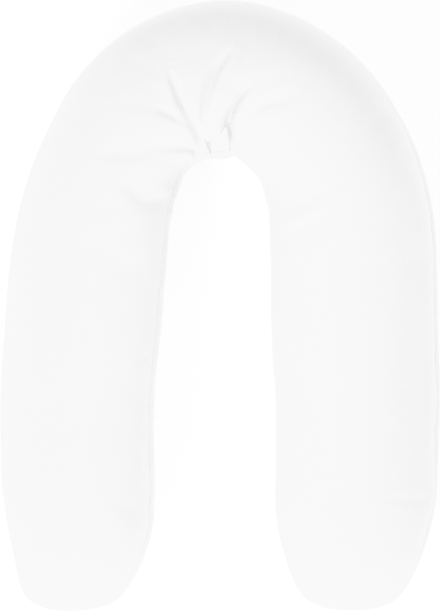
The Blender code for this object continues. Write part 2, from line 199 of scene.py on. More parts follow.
def section_curve(sections, angle):
    """How far out of the middle, and how high, the skin is at each angle round its section.

    The angle is 0 at the outer widest line, pi at the inner one, and more than pi under the pillow.
    """
    from_tip = (TIP_STATION - 90.0 - np.abs(sections.station - 90.0)) * DEGREE
    half_width = sections.width / 2 * bulge(from_tip / TIP_SIDES.reach, TIP_SIDES.power)
    widest_z = WIDEST_SHARE * sections.height
    rise = (sections.height - widest_z) * bulge(from_tip / TIP_TOP.reach, TIP_TOP.power)
    drop = (widest_z + BEARING_DEPTH) * bulge(from_tip / TIP_UNDERSIDE.reach, TIP_UNDERSIDE.power)
    top = np.sin(angle) >= 0.0
    power = 2.0 / np.where(top, TOP_POWER, UNDER_POWER)
    cosine, sine = np.cos(angle), np.sin(angle)
    across = half_width * np.copysign(np.abs(cosine) ** power, cosine)
    z = widest_z + np.where(top, rise, drop) * np.copysign(np.abs(sine) ** power, sine)
    rolled = (z + BEARING_ROLL) ** 2 / (4.0 * BEARING_ROLL)
    z = np.where(z > BEARING_ROLL, z, np.where(z > -BEARING_ROLL, rolled, 0.0))
    return across, z


def skin_point(sections, angle):
    across, z = section_curve(sections, angle)
    turn = np.radians(sections.turn)
    return np.stack([sections.x + across * np.cos(turn), sections.y + across * np.sin(turn), z], axis=-1)


def ring_stations():
    stations = [np.linspace(span.start, span.end, span.rings, endpoint=False) for span in RING_SPANS]
    tip = 1.0 - np.cos(np.pi / 2 * (np.arange(TIP_RINGS) + 0.5) / TIP_RINGS)
    tip = TIP_STATION - tip * (TIP_STATION - ARM_STATION)
    return np.concatenate([np.sort(180.0 - tip), *stations, [ARM_STATION], np.sort(tip)])


# The folds, one row for each place that a fold passes, from the crown towards the gap: how deep it is
# there, how far its sides reach to the left and right, looking up the fold away from the gap, and how
# sharply they meet at its bottom, from 0 for a soft trough to 1 for a pinched crease. A depth less than 0
# is a ridge. A fold with an end turn goes on down the inner wall at that turn, past the seam. The cover's
# rings are laid along the guiding folds.
FoldPoint = namedtuple("FoldPoint", "x y depth left right sharp")
Fold = namedtuple("Fold", "name guides end_turn points")
FOLDS = (
    Fold(
        "left_fold",
        True,
        104.6,
        (
            FoldPoint(-0.0765, 0.3661, 0.0000, 0.007, 0.006, 0.0),
            FoldPoint(-0.0743, 0.3540, 0.0050, 0.011, 0.009, 0.0),
            FoldPoint(-0.0713, 0.3419, 0.0084, 0.013, 0.010, 0.1),
            FoldPoint(-0.0659, 0.3282, 0.0104, 0.014, 0.010, 0.2),
            FoldPoint(-0.0606, 0.3146, 0.0114, 0.015, 0.009, 0.3),
            FoldPoint(-0.0546, 0.3009, 0.0118, 0.015, 0.009, 0.5),
            FoldPoint(-0.0478, 0.2873, 0.0112, 0.014, 0.009, 0.6),
            FoldPoint(-0.0394, 0.2736, 0.0114, 0.014, 0.010, 0.5),
            FoldPoint(-0.0311, 0.2585, 0.0120, 0.015, 0.010, 0.4),
        ),
    ),
    Fold(
        "middle_fold",
        True,
        None,
        (
            FoldPoint(0.0200, 0.3960, 0.0000, 0.008, 0.006, 0.0),
            FoldPoint(0.0160, 0.3890, 0.0034, 0.012, 0.007, 0.2),
            FoldPoint(0.0108, 0.3797, 0.0074, 0.016, 0.009, 0.2),
            FoldPoint(0.0030, 0.3676, 0.0104, 0.019, 0.009, 0.2),
            FoldPoint(-0.0045, 0.3540, 0.0124, 0.021, 0.009, 0.2),
            FoldPoint(-0.0099, 0.3403, 0.0132, 0.022, 0.009, 0.2),
            FoldPoint(-0.0144, 0.3267, 0.0130, 0.021, 0.009, 0.2),
            FoldPoint(-0.0182, 0.3115, 0.0120, 0.019, 0.009, 0.2),
            FoldPoint(-0.0215, 0.2964, 0.0102, 0.016, 0.009, 0.2),
            FoldPoint(-0.0238, 0.2812, 0.0076, 0.013, 0.008, 0.1),
            FoldPoint(-0.0245, 0.2645, 0.0042, 0.010, 0.006, 0.0),
            FoldPoint(-0.0205, 0.2510, 0.0000, 0.008, 0.006, 0.0),
            FoldPoint(-0.0110, 0.2330, 0.0000, 0.008, 0.006, 0.0),
        ),
    ),
    Fold(
        "right_fold",
        True,
        73.2,
        (
            FoldPoint(0.0455, 0.3330, 0.0000, 0.007, 0.005, 0.1),
            FoldPoint(0.0394, 0.3262, 0.0075, 0.010, 0.007, 0.2),
            FoldPoint(0.0330, 0.3176, 0.0130, 0.011, 0.008, 0.2),
            FoldPoint(0.0268, 0.3070, 0.0160, 0.012, 0.008, 0.3),
            FoldPoint(0.0212, 0.2964, 0.0178, 0.013, 0.009, 0.2),
            FoldPoint(0.0162, 0.2843, 0.0194, 0.014, 0.009, 0.2),
            FoldPoint(0.0138, 0.2691, 0.0222, 0.015, 0.009, 0.2),
            FoldPoint(0.0159, 0.2555, 0.0280, 0.015, 0.009, 0.2),
        ),
    ),
    Fold(
        "side_fold",
        False,
        113.7,
        (
            FoldPoint(-0.1080, 0.2373, 0.0000, 0.007, 0.010, 0.4),
            FoldPoint(-0.0834, 0.2373, 0.0022, 0.008, 0.014, 0.5),
            FoldPoint(-0.0682, 0.2377, 0.0038, 0.008, 0.016, 0.5),
            FoldPoint(-0.0531, 0.2380, 0.0052, 0.008, 0.016, 0.5),
            FoldPoint(-0.0424, 0.2370, 0.0060, 0.008, 0.015, 0.4),
            FoldPoint(-0.0370, 0.2335, 0.0060, 0.008, 0.014, 0.3),
        ),
    ),
    Fold(
        "slack_fold",
        False,
        None,
        (
            FoldPoint(-0.1010, 0.2985, 0.0000, 0.006, 0.010, 0.2),
            FoldPoint(-0.0910, 0.2949, 0.0012, 0.008, 0.013, 0.3),
            FoldPoint(-0.0788, 0.2900, 0.0022, 0.009, 0.015, 0.3),
            FoldPoint(-0.0667, 0.2840, 0.0026, 0.009, 0.015, 0.3),
            FoldPoint(-0.0546, 0.2765, 0.0024, 0.009, 0.013, 0.3),
            FoldPoint(-0.0445, 0.2680, 0.0010, 0.008, 0.010, 0.2),
        ),
    ),
    Fold(
        "finger",
        False,
        None,
        (
            FoldPoint(0.0330, 0.3800, 0.0000, 0.010, 0.010, 0.0),
            FoldPoint(0.0200, 0.3500, -0.0015, 0.012, 0.013, 0.0),
            FoldPoint(0.0080, 0.3200, -0.0022, 0.013, 0.014, 0.0),
            FoldPoint(-0.0030, 0.2900, -0.0025, 0.013, 0.013, 0.0),
            FoldPoint(-0.0080, 0.2640, -0.0020, 0.012, 0.012, 0.0),
        ),
    ),
    Fold(
        "cross_fold",
        False,
        None,
        (
            FoldPoint(-0.0830, 0.3628, 0.0000, 0.004, 0.004, 0.0),
            FoldPoint(-0.0775, 0.3625, 0.0014, 0.005, 0.005, 0.0),
            FoldPoint(-0.0700, 0.3628, 0.0014, 0.005, 0.005, 0.0),
            FoldPoint(-0.0600, 0.3634, 0.0000, 0.004, 0.004, 0.0),
        ),
    ),
    Fold(
        "right_mark",
        False,
        None,
        (
            FoldPoint(0.0850, 0.3075, 0.0000, 0.006, 0.006, 0.0),
            FoldPoint(0.0740, 0.3045, 0.0014, 0.007, 0.008, 0.0),
            FoldPoint(0.0600, 0.2990, 0.0014, 0.007, 0.008, 0.0),
            FoldPoint(0.0510, 0.2940, 0.0000, 0.006, 0.006, 0.0),
        ),
    ),
    Fold(
        "right_arm_ridge",
        False,
        None,
        (
            FoldPoint(0.2060, 0.1930, 0.0000, 0.014, 0.008, 0.0),
            FoldPoint(0.1830, 0.1690, -0.0016, 0.020, 0.010, 0.0),
            FoldPoint(0.1610, 0.1520, -0.0030, 0.026, 0.010, 0.0),
            FoldPoint(0.1400, 0.1370, -0.0036, 0.028, 0.010, 0.0),
            FoldPoint(0.1190, 0.1250, -0.0032, 0.026, 0.010, 0.0),
            FoldPoint(0.0975, 0.1180, -0.0020, 0.022, 0.009, 0.0),
            FoldPoint(0.0830, 0.1190, 0.0000, 0.016, 0.007, 0.0),
        ),
    ),
    Fold(
        "right_arm_dent",
        False,
        None,
        (
            FoldPoint(0.3240, -0.2980, 0.0009, 0.010, 0.010, 0.0),
            FoldPoint(0.2980, -0.2965, 0.0015, 0.010, 0.012, 0.0),
            FoldPoint(0.2687, -0.2952, 0.0012, 0.010, 0.010, 0.0),
            FoldPoint(0.2450, -0.2915, 0.0000, 0.008, 0.008, 0.0),
        ),
    ),
    Fold(
        "left_arm_dent",
        False,
        None,
        (
            FoldPoint(-0.1260, -0.0920, 0.0000, 0.008, 0.008, 0.0),
            FoldPoint(-0.1150, -0.0860, 0.0020, 0.010, 0.010, 0.0),
            FoldPoint(-0.1060, -0.0800, 0.0025, 0.011, 0.011, 0.0),
            FoldPoint(-0.1010, -0.0740, 0.0000, 0.008, 0.008, 0.0),
        ),
    ),
)

# The power of a crease's sides, how many steps there are from one of a fold's rows to the next, the angles
# down the inner wall that a fold with an end turn goes on to, and how far outside a fold's box it reaches.
# The rings are laid along the guiding folds a few times, until they settle.
CREASE_POWER = 1.5
FOLD_STEPS = 12
FOLD_ENDS = (math.pi, math.pi + 0.9)
NEAR_A_FOLD = 0.03
GUIDE_PASSES = 4

# Between the left and right folds the cover is tucked in under the finger of cloth above it, down to the
# seam: the tuck's upper edge in plan, how deep it is, over what lengths it falls away at that edge and at
# its sides, and the heights, as shares of the bend's, between which it grows to its full depth.
TUCK_EDGE = ((-0.0303, 0.2570), (-0.0197, 0.2509), (-0.0106, 0.2524), (0.0000, 0.2600), (0.0110, 0.2690))
TUCK_DEPTH = 0.018
TUCK_FALL = 0.005
TUCK_SIDE = 0.009
TUCK_RISE = (0.43, 0.64)
TUCK_SIDES = ("left_fold", "right_fold")

# Towards the seam the folds grow shallower, down to this share of their depth, and they die out below it.
# The heights are shares of the bend's height.
SEAM_DEPTH_SHARE = 0.3
FOLD_RISE = (0.49, 0.66)
FOLD_END = (0.08, 0.36)

# Where a fold and the tuck meet, the deeper one rules. The higher this power, the harder the change is.
MEETING_POWER = 4


def station_and_angle(x, y):
    """The station and the angle round its section of the place on the crown over a spot in plan."""
    if y > BEND_Y:
        station = math.degrees(math.atan2(y - BEND_Y, x))
        section = sections_at(np.array(station))
        across = math.hypot(x, y - BEND_Y) - math.hypot(section.x, section.y - BEND_Y)
    else:
        station = 90.0 - math.copysign(90.0 + (BEND_Y - y) / DEGREE, x)
        section = sections_at(np.array(station))
        across = math.copysign(1.0, x) * (x - section.x)
    share = float(np.clip(across / (section.width / 2), -1.0, 1.0))
    return station, math.acos(math.copysign(abs(share) ** (TOP_POWER / 2.0), share))


def fold_line(fold):
    """A fold's line on the smooth cover: stations, angles, depths, its reach to either side, sharpness."""
    rows = [(*station_and_angle(p.x, p.y), *p[2:]) for p in fold.points]
    if fold.end_turn:
        rows += [(fold.end_turn, angle, *rows[-1][2:]) for angle in FOLD_ENDS]
    places = np.arange(len(rows))
    at = np.linspace(0, len(rows) - 1, (len(rows) - 1) * FOLD_STEPS + 1)
    return np.stack([smooth_read(places, column, at) for column in zip(*rows)])


def drawn_over(stations, reach):
    """The turn at which a ring lies at this reach from the bend's centre.

    The ring nearest to each guiding fold is laid along its bottom, and draws its neighbours with it.
    """
    guides = []
    for fold in FOLDS:
        if fold.guides:
            turns, angles, *_ = fold_line(fold)
            turns, angles = turns[angles < math.pi], angles[angles < math.pi]
            sections = sections_at(turns)
            across, _ = section_curve(sections, angles)
            reaches = np.hypot(sections.x, sections.y - BEND_Y) + across
            order = np.argsort(reaches)
            turn = np.interp(reach, reaches[order], turns[order])
            guides.append((stations[np.argmin(np.abs(stations - turn.mean()))], turn))
    guides.sort(key=lambda guide: guide[0])
    homes = [0.0, *(home for home, _ in guides), 180.0]
    turns = [np.zeros_like(reach), *(turn for _, turn in guides), np.full_like(reach, 180.0)]
    drawn = np.broadcast_to(stations[:, None], reach.shape).copy()
    for low, high, low_turn, high_turn in zip(homes, homes[1:], turns, turns[1:]):
        between = (stations[:, None] >= low) & (stations[:, None] <= high)
        share = (stations[:, None] - low) / (high - low)
        drawn = np.where(between, low_turn + share * (high_turn - low_turn), drawn)
    return drawn


def column_angles(stations):
    """The angle of each column on each ring: at fixed distances from the seams, then evenly spaced."""
    top = np.linspace(SEAM_ANGLE, math.pi - SEAM_ANGLE, GIRTH_STEPS + 1)
    under = np.linspace(math.pi - SEAM_ANGLE, 2.0 * math.pi + SEAM_ANGLE, GIRTH_STEPS + 1)
    fine = np.concatenate([top, under[1:]])
    across, z = section_curve(sections_at(stations[:, None]), fine[None, :])
    steps = np.hypot(np.diff(across, axis=1), np.diff(z, axis=1))
    run = np.concatenate([np.zeros((len(stations), 1)), np.cumsum(steps, axis=1)], axis=1)
    angles, girths = [], []
    for row in run:
        girth = []
        half, whole = row[GIRTH_STEPS], row[-1]
        for start, end, columns in ((0.0, half, TOP_COLUMNS), (half, whole, UNDER_COLUMNS)):
            near = np.array([0.0, *SEAM_COLUMNS]) * min(1.0, (end - start) / FULL_GIRTH)
            even = np.linspace(start + near[-1], end - near[-1], columns + 1 - 2 * len(SEAM_COLUMNS))
            girth += [start + near[:-1], even, end - near[:0:-1][1:]]
        girth = np.concatenate([*girth, [whole]])
        angles.append(np.interp(girth[:-1], row, fine))
        girths.append(girth)
    return np.array(angles), np.array(girths)


def cover_grid():
    """Every point of the smooth cover, ring by ring, and its place across and along its panel's cloth."""
    stations = ring_stations()
    angles, girths = column_angles(stations)
    drawn = stations[:, None]
    for _ in range(GUIDE_PASSES):
        sections = sections_at(drawn)
        across, _ = section_curve(sections, angles)
        drawn = drawn_over(stations, np.hypot(sections.x, sections.y - BEND_Y) + across)
    points = skin_point(sections_at(drawn), angles)
    steps = np.linalg.norm(np.diff(points, axis=0), axis=2).mean(axis=1)
    lengths = np.concatenate([[0.0], np.cumsum(steps)])
    top, under = girths[:, : TOP_COLUMNS + 1], girths[:, TOP_COLUMNS:]
    across = [top - top.mean(axis=1)[:, None], under - under.mean(axis=1)[:, None]]
    across = np.concatenate(across, axis=1)
    return points, np.stack([across, np.broadcast_to(lengths[:, None], across.shape)], axis=-1)


def closed_mesh(name, points, threads):
    """Joins the rings into one closed mesh, with a fan over each tip.

    The threads are each panel's own places across and along its cloth, kept as the mesh's UVs.
    """
    rings, columns, _ = points.shape
    tips = [points[0].mean(axis=0), points[-1].mean(axis=0)]
    tips[0][1] = tips[1][1] = TIP_Y
    corners = np.concatenate([points.reshape(-1, 3), tips])
    ring, column = np.meshgrid(np.arange(rings - 1), np.arange(columns), indexing="ij")
    beside = (column + 1) % columns
    quads = np.stack(
        [
            ring * columns + column,
            (ring + 1) * columns + column,
            (ring + 1) * columns + beside,
            ring * columns + beside,
        ],
        axis=-1,
    ).reshape(-1, 4)
    start, last = rings * columns, (rings - 1) * columns
    k = np.arange(columns)
    fans = [
        np.stack([k, (k + 1) % columns, np.full(columns, start)], axis=-1),
        np.stack([last + (k + 1) % columns, last + k, np.full(columns, start + 1)], axis=-1),
    ]
    mesh = bpy.data.meshes.new(name)
    mesh.from_pydata(corners.tolist(), [], quads.tolist() + fans[0].tolist() + fans[1].tolist())
    near = k + (k >= TOP_COLUMNS)
    low, high = threads[:-1], threads[1:]
    uv = np.stack([low[:, near], high[:, near], high[:, near + 1], low[:, near + 1]], axis=2)
    first = np.stack([threads[0, near], threads[0, near + 1], threads[0, near]], axis=1)
    final = np.stack([threads[-1, near + 1], threads[-1, near], threads[-1, near]], axis=1)
    layer = mesh.uv_layers.new(name="threads")
    layer.data.foreach_set("uv", np.concatenate([part.ravel() for part in (uv, first, final)]))
    mesh.shade_smooth()
    mesh.validate()
    return mesh


def read_points(mesh):
    points = np.empty(len(mesh.vertices) * 3, np.float32)
    mesh.vertices.foreach_get("co", points)
    return points.reshape(-1, 3).astype(float)


def read_normals(mesh):
    normals = np.empty(len(mesh.vertices) * 3, np.float32)
    mesh.vertex_normals.foreach_get("vector", normals)
    return normals.reshape(-1, 3).astype(float)


def write_points(mesh, points):
    mesh.vertices.foreach_set("co", points.astype(np.float32).ravel())
    mesh.update()


def nearest_on(line, points):
    """For each point: its distance from a line of points in space, its place along it, and its offset."""
    best = np.full(len(points), np.inf)
    place = np.zeros(len(points))
    offset = np.zeros_like(points)
    for k, (a, b) in enumerate(zip(line, line[1:])):
        run = b - a
        along = np.clip(((points - a) @ run) / (run @ run), 0.0, 1.0)
        away = points - a - along[:, None] * run
        distance = np.linalg.norm(away, axis=1)
        nearer = distance < best
        best[nearer] = distance[nearer]
        place[nearer] = k + along[nearer]
        offset[nearer] = away[nearer]
    return best, place, offset


def fold_depth(fold, points, normals):
    """How far each point sinks into a fold."""
    stations, angles, depth, left, right, sharp = fold_line(fold)
    line = skin_point(sections_at(stations), angles)
    half_box = np.ptp(line, axis=0) / 2 + NEAR_A_FOLD
    near = np.flatnonzero(np.all(np.abs(points - line.mean(axis=0)) < half_box, axis=1))
    distance, place, offset = nearest_on(line, points[near])
    k = np.arange(len(line))
    run = np.gradient(line, axis=0)
    run = np.stack([np.interp(place, k, column) for column in run.T], axis=-1)
    on_left = np.einsum("ij,ij->i", np.cross(normals[near], run), offset) < 0
    reach = np.where(on_left, np.interp(place, k, left), np.interp(place, k, right))
    side = np.clip(1.0 - distance / reach, 0.0, 1.0)
    sharp = np.interp(place, k, sharp)
    profile = sharp * side**CREASE_POWER + (1.0 - sharp) * ease(0.0, 1.0, side)
    sunk = np.zeros(len(points))
    sunk[near] = np.interp(place, k, depth) * profile
    return sunk


def tuck_depth(points):
    """How far each point sinks between the left and right folds, below the finger of cloth."""
    edges = []
    for fold in FOLDS:
        if fold.name in TUCK_SIDES:
            stations, angles, *_ = fold_line(fold)
            line = skin_point(sections_at(stations), angles)[angles < math.pi]
            order = np.argsort(line[:, 1])
            edges.append(np.interp(points[:, 1], line[order, 1], line[order, 0]))
    left, right = edges
    edge_x, edge_y = zip(*TUCK_EDGE)
    below = smooth_read(edge_x, edge_y, np.clip(points[:, 0], edge_x[0], edge_x[-1])) - points[:, 1]
    inside = np.minimum(points[:, 0] - left, right - points[:, 0])
    depth = TUCK_DEPTH * ease(0.0, TUCK_FALL, below) * ease(0.0, TUCK_SIDE, inside)
    return np.where(points[:, 1] > BEND_Y, depth, 0.0)


points, threads = cover_grid()
cover_mesh = closed_mesh("cover", points, threads)
points, normals = read_points(cover_mesh), read_normals(cover_mesh)
level = points[:, 2] / BEND[len(BEND) // 2].height
folds = sum(fold_depth(fold, points, normals) for fold in FOLDS)
folds *= SEAM_DEPTH_SHARE + (1.0 - SEAM_DEPTH_SHARE) * ease(*FOLD_RISE, level)
folds *= ease(*FOLD_END, level)
tuck = tuck_depth(points) * ease(*TUCK_RISE, level)
deepest = (np.abs(folds) ** MEETING_POWER + tuck**MEETING_POWER) ** (1 / MEETING_POWER)
sunk = np.where(folds > 0, deepest, folds + tuck)
write_points(cover_mesh, points - normals * sunk[:, None])


# The filling presses the cover out: a cloth simulation on an evenly meshed copy, with more cloth than the
# bend's inner side needs, so it swells and wrinkles between the folds, which are held. The copy's moves
# are then carried over to the cover, and the swell that the pressure gives it all over is taken off again,
# except where the pillow bears. Nothing moves further than the cap.
FILL_MESH = 0.007
FILL_FRAMES = 20
FILL_QUALITY = 5
FILL_PRESSURE = 4.0
COTTON_MASS = 0.3
FILL_CAP = 0.007
FILL_SWELL = 0.0018
SWELL_Z = 0.02

# How much longer the cloth is than the form needs, all over and at the bend, and where that is: between
# which places along Y, within which reach of the bend's centre, and between which heights.
ALL_SLACK = 0.006
BEND_SLACK = 0.05
SLACK_Y = (BEND_Y - 0.20, BEND_Y + 0.05)
SLACK_REACH = (0.12, 0.24)
SLACK_Z = (0.100, 0.135)

# How firmly the folds are held, which columns beside the seam are held, and how high the pillow bears.
# The moves are evened a few times, on the copy and on the cover.
HOLD = 4.0
HELD_COLUMNS = (0, 1, -1, TOP_COLUMNS - 1, TOP_COLUMNS, TOP_COLUMNS + 1)
BEARING_Z = 0.001
COPY_EVENING = 3
COVER_EVENING = 2


def even_copy(mesh, size):
    """A closed mesh of even quads over the same form."""
    copy = bpy.data.objects.new("even_copy", mesh)
    scene.collection.objects.link(copy)
    remesh = copy.modifiers.new("remesh", "REMESH")
    remesh.mode = "VOXEL"
    remesh.voxel_size = size
    finished = bpy.data.meshes.new_from_object(copy.evaluated_get(bpy.context.evaluated_depsgraph_get()))
    bpy.data.objects.remove(copy)
    return finished


def pressed_out(mesh, slack, held):
    """Where the filling presses every point of the mesh."""
    cloth_object = bpy.data.objects.new("filling", mesh)
    scene.collection.objects.link(cloth_object)
    for name, weights in (("tight", 1.0 - slack / slack.max()), ("held", held)):
        group = cloth_object.vertex_groups.new(name=name)
        for index, weight in enumerate(weights):
            group.add([index], float(weight), "REPLACE")
    cloth = cloth_object.modifiers.new("filling", "CLOTH")
    cloth.settings.quality = FILL_QUALITY
    cloth.settings.mass = COTTON_MASS
    cloth.settings.use_pressure = True
    cloth.settings.uniform_pressure_force = FILL_PRESSURE
    cloth.settings.effector_weights.gravity = 0.0
    cloth.settings.vertex_group_mass = "held"
    cloth.settings.vertex_group_shrink = "tight"
    cloth.settings.shrink_min = -float(slack.max())
    cloth.settings.shrink_max = 0.0
    cloth.point_cache.frame_start, cloth.point_cache.frame_end = 1, FILL_FRAMES
    for step in range(1, FILL_FRAMES + 1):
        scene.frame_set(step)
    finished = cloth_object.evaluated_get(bpy.context.evaluated_depsgraph_get()).to_mesh()
    result = read_points(finished)
    scene.frame_set(1)
    bpy.data.objects.remove(cloth_object)
    return result


def evened(mesh, values, passes):
    """The values of a mesh's points, each drawn towards its neighbours' mean a few times."""
    edges = np.empty(len(mesh.edges) * 2, np.int32)
    mesh.edges.foreach_get("vertices", edges)
    a, b = edges.reshape(-1, 2).T
    count = np.maximum(np.bincount(edges, minlength=len(values)), 1)[:, None]
    for _ in range(passes):
        total = np.zeros_like(values)
        np.add.at(total, a, values[b])
        np.add.at(total, b, values[a])
        values = (values + total / count) / 2
    return values


def carried_over(mesh, move, points):
    """The move of the mesh's surface at the nearest place to each point."""
    mesh.calc_loop_triangles()
    corners = np.array([triangle.vertices for triangle in mesh.loop_triangles])
    places = read_points(mesh)
    tree = BVHTree.FromPolygons(places.tolist(), corners.tolist())
    found = [tree.find_nearest(point) for point in points.tolist()]
    hit = np.array([place for place, _, _, _ in found])
    corner = corners[[index for _, _, index, _ in found]]
    a, b, c = (places[corner[:, k]] for k in range(3))
    area = np.cross(b - a, c - a)
    size = np.einsum("ij,ij->i", area, area)
    share_b = np.einsum("ij,ij->i", np.cross(hit - a, c - a), area) / size
    share_c = np.einsum("ij,ij->i", np.cross(b - a, hit - a), area) / size
    shares = np.stack([1.0 - share_b - share_c, share_b, share_c], axis=-1)
    return np.einsum("ij,ijk->ik", shares, move[corner])


def grid_evened(grid, passes):
    """The values of the cover's rings and columns, drawn towards those beside them a few times."""
    for _ in range(passes):
        grid = (np.roll(grid, 1, axis=1) + 2 * grid + np.roll(grid, -1, axis=1)) / 4
        grid[1:-1] = (grid[:-2] + 2 * grid[1:-1] + grid[2:]) / 4
    return grid


def tree_of(points):
    tree = KDTree(len(points))
    for index, point in enumerate(points.tolist()):
        tree.insert(point, index)
    tree.balance()
    return tree


def creased_share(points, normals, tuck):
    """How firmly the guiding folds and the tuck hold each point of the cover, up to 1."""
    depth = tuck / TUCK_DEPTH
    for fold in FOLDS:
        if fold.guides:
            depth = depth + fold_depth(fold, points, normals) / max(point.depth for point in fold.points)
    return np.minimum(HOLD * depth, 1.0)


def cloth_slack(points):
    """How much more cloth there is than the form needs: most on the crown at the bend's inner side."""
    x, y, z = points.T
    reach = np.hypot(x, y - BEND_Y)
    at_bend = ease(*SLACK_Y, y) * (1.0 - ease(*SLACK_REACH, reach)) * ease(*SLACK_Z, z)
    return ALL_SLACK + BEND_SLACK * at_bend


filled = even_copy(cover_mesh, FILL_MESH)
start, fine = read_points(filled), read_points(cover_mesh)
fine_tree = tree_of(fine)
nearest = [fine_tree.find(point)[1] for point in start.tolist()]
creased = creased_share(points, normals, tuck)
held = creased.copy()
held[:-2].reshape(-1, COLUMNS)[:, HELD_COLUMNS] = 1.0
held[-2:] = 1.0
held = held[nearest]
held[start[:, 2] < BEARING_Z] = 1.0
move = pressed_out(filled, cloth_slack(start), held) - start
length = np.linalg.norm(move, axis=1, keepdims=True)
move *= FILL_CAP * np.tanh(length / FILL_CAP) / np.maximum(length, 1e-9)
carried = carried_over(filled, evened(filled, move, COPY_EVENING), fine)
grid = carried[:-2].reshape(-1, COLUMNS, 3)
carried[:-2] = grid_evened(grid, COVER_EVENING).reshape(-1, 3)
swell = FILL_SWELL * (1.0 - creased) * ease(0.0, SWELL_Z, fine[:, 2])
write_points(cover_mesh, fine + carried - swell[:, None] * read_normals(cover_mesh))
bpy.data.meshes.remove(filled)

# The seam: its line runs round both sides and over both tips, and draws the two panels in. The top panel
# slopes down to it and the bottom one bulges out below it. Puckers cross it, closer and deeper where the
# bend squeezes it and where it turns round the tips.
SeamSide = namedtuple("SeamSide", "reach power pucker_reach")
SEAM_TOP = SeamSide(0.050, 1.5, 0.034)
SEAM_UNDER = SeamSide(0.016, 1.6, 0.022)
SEAM_DRAW = 0.0052
GROOVE_DEPTH = 0.0012
GROOVE_REACH = 0.0022
GROOVE_POWER = 1.5
SEAM_STEP = 0.0005

# How long and deep the puckers are along the arms, in the bend and round the tips, and where the bend and
# the tips begin. At every mark along the seam they are shifted and weakened by a new amount.
PuckerPlace = namedtuple("PuckerPlace", "wave depth")
PUCKERS_ARM = PuckerPlace(0.022, 0.0005)
PUCKERS_BEND = PuckerPlace(0.0105, 0.0013)
PUCKERS_TIP = PuckerPlace(0.015, 0.0011)
PUCKERS_BEND_Y = (BEND_Y - 0.03, BEND_Y + 0.02)
PUCKERS_BEND_REACH = (0.12, 0.16)
PUCKERS_TIP_Y = (TIP_Y + 0.03, TIP_Y + 0.09)
PUCKER_POWER = 1.5
PUCKER_MARKS = 0.045
PUCKER_SHIFT = 2.2
PUCKER_STRENGTH = (0.25, 1.0)
PUCKER_SEED = 7


def seam_loop(values):
    """The values of the cover's points round the seam: the outer side, a tip, the inner side, a tip."""
    grid, tips = values[:-2].reshape(-1, COLUMNS, 3), values[-2:]
    return np.concatenate([tips[:1], grid[:, 0], tips[1:], grid[::-1, TOP_COLUMNS], tips[:1]])


def along_seam(points, values):
    """The values of the cover's points, read at even small steps round the seam."""
    run = np.linalg.norm(np.diff(seam_loop(points), axis=0), axis=1)
    run = np.concatenate([[0.0], np.cumsum(run)])
    at = np.linspace(0.0, run[-1], int(run[-1] / SEAM_STEP), endpoint=False)
    return np.stack([np.interp(at, run, column) for column in seam_loop(values).T], axis=-1)


def puckers(places):
    """How deep the cover is puckered at each place along the seam: waves of uneven length and depth."""
    reach = np.hypot(places[:, 0], places[:, 1] - BEND_Y)
    in_bend = ease(*PUCKERS_BEND_Y, places[:, 1]) * (1.0 - ease(*PUCKERS_BEND_REACH, reach))
    at_tip = 1.0 - ease(*PUCKERS_TIP_Y, places[:, 1])
    wave, depth = (
        arm + (bend - arm) * in_bend + (tip - arm) * at_tip
        for arm, bend, tip in zip(PUCKERS_ARM, PUCKERS_BEND, PUCKERS_TIP)
    )
    phase = 2.0 * math.pi * np.cumsum(SEAM_STEP / wave)
    rng = np.random.default_rng(PUCKER_SEED)
    at = SEAM_STEP * np.arange(len(places))
    marks = np.arange(0.0, at[-1] + 2 * PUCKER_MARKS, PUCKER_MARKS)
    shift = np.interp(at, marks, rng.uniform(-PUCKER_SHIFT, PUCKER_SHIFT, len(marks)))
    strength = np.interp(at, marks, rng.uniform(*PUCKER_STRENGTH, len(marks)))
    return depth * strength * (0.5 + 0.5 * np.sin(phase + shift)) ** PUCKER_POWER


points, normals = read_points(cover_mesh), read_normals(cover_mesh)
places = along_seam(points, points)
pucker = puckers(places)
seam_tree = tree_of(places)
found = [seam_tree.find(point) for point in points.tolist()]
nearest = [index for _, index, _ in found]
away = np.array([distance for _, _, distance in found])
under = np.arange(len(points)) % COLUMNS > TOP_COLUMNS
under[-2:] = False
reach = np.where(under, SEAM_UNDER.reach, SEAM_TOP.reach)
power = np.where(under, SEAM_UNDER.power, SEAM_TOP.power)
pucker_reach = np.where(under, SEAM_UNDER.pucker_reach, SEAM_TOP.pucker_reach)
drawn = SEAM_DRAW * np.clip(1.0 - away / reach, 0.0, 1.0) ** power
drawn += GROOVE_DEPTH * np.clip(1.0 - away / GROOVE_REACH, 0.0, 1.0) ** GROOVE_POWER
drawn += pucker[nearest] * ease(0.0, 1.0, 1.0 - away / pucker_reach)

# The filling is never quite even: slow shallow waves all over, but for where the pillow bears.
Wave = namedtuple("Wave", "length depth")
WAVES = (Wave(0.110, 0.0010), Wave(0.042, 0.0004))
WAVES_Z = 0.03
for wave in WAVES:
    heights = np.array([noise.noise(Vector(point) / wave.length) for point in points.tolist()])
    drawn += wave.depth * heights * ease(0.0, WAVES_Z, points[:, 2])
points -= normals * drawn[:, None]
points[:, 2] = np.maximum(points[:, 2], 0.0)

# The model's origin is under the middle of its box, and the tables' own lies this far from it along Y.
ORIGIN_Y = 0.0032
write_points(cover_mesh, points + [0.0, ORIGIN_Y, 0.0])
cover = bpy.data.objects.new("cover", cover_mesh)
scene.collection.objects.link(cover)

